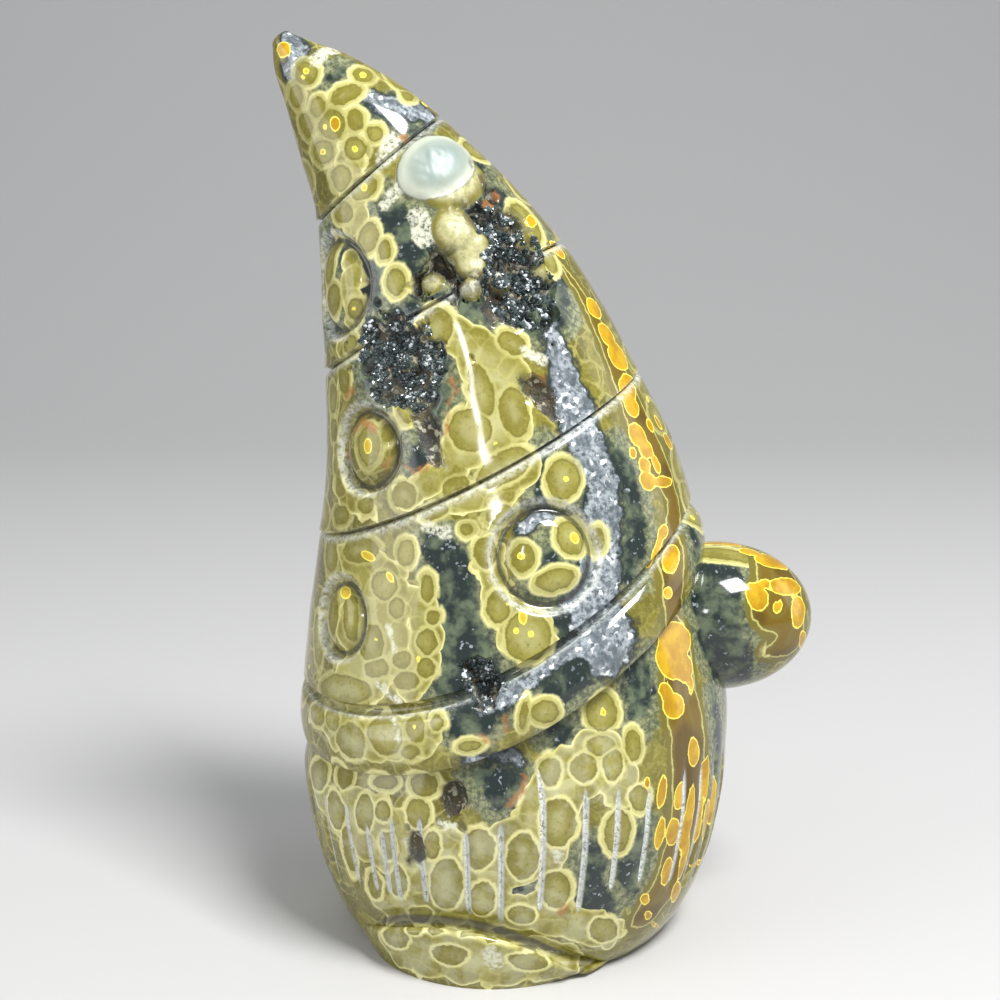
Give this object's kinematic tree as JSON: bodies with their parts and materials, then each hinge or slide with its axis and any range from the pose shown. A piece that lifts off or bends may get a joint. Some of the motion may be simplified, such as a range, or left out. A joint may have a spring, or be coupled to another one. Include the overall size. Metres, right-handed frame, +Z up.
{
  "type": "carved ocean jasper gnome figure",
  "caption": "Small polished figure of a bearded gnome in a tall leaning hat, carved from one piece of orbicular ocean jasper, with crystal-lined hollows.",
  "frame": {"origin": "centre of the footprint's own axes on the flat base, under the body", "axes": "+Z up, +X towards the nose, which is the figure's front, and -Y towards its right side, which the picture shows"},
  "size_m": [0.1071, 0.0818, 0.18],
  "materials": {
    "polished_jasper": "polished",
    "quartz_druse": "crystalline"
  },
  "bodies": {
    "root": {"carved_stone": "polished_jasper", "hat_vug_crust": "quartz_druse", "side_vug_crust": "quartz_druse", "brim_vug_crust": "quartz_druse", "back_vug_crust": "quartz_druse"}
  },
  "joints": []
}
